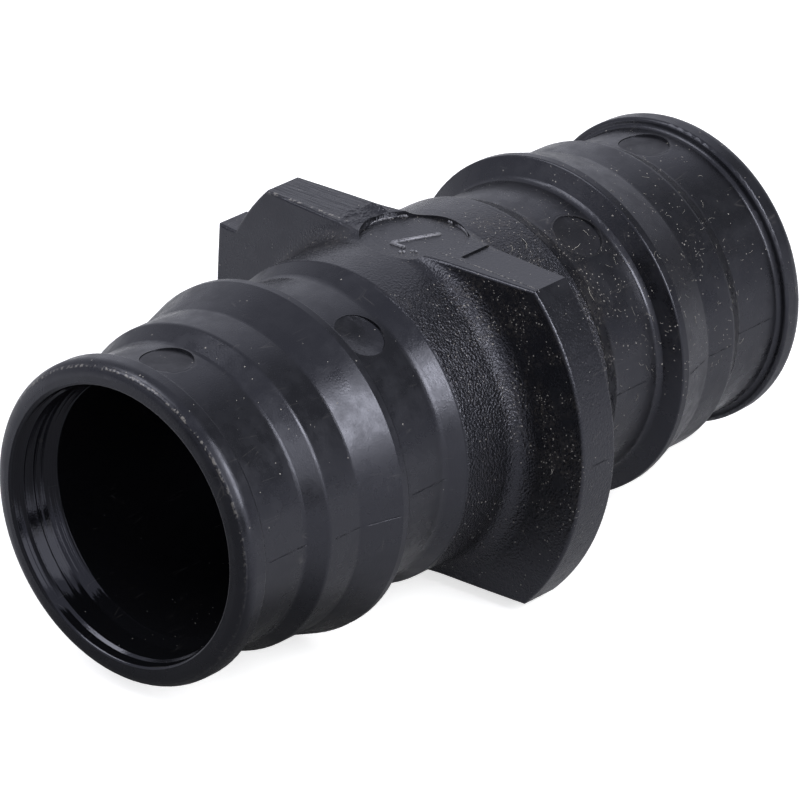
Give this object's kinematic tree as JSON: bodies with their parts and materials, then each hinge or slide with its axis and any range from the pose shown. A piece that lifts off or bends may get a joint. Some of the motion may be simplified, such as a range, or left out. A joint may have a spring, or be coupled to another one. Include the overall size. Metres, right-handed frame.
{
  "type": "pex coupling",
  "caption": "Double-ended expansion PEX pipe coupling, moulded in one piece, with stepped insert barrels each side of a D-shaped stop flange and a bore right through.",
  "frame": {"origin": "centre of the coupling, on the bore's axis, midway between the two end faces", "axes": "+X along the bore, +Z out of the flange's flat with the round mould insert, +Y towards the flange's square tab"},
  "size_m": [0.087, 0.0497, 0.037],
  "materials": {
    "black_polymer": "as moulded: satin barrels, fine spark texture on the mid-body, dusty from storage"
  },
  "bodies": {
    "root": {"coupling_body": "black_polymer"}
  },
  "joints": []
}
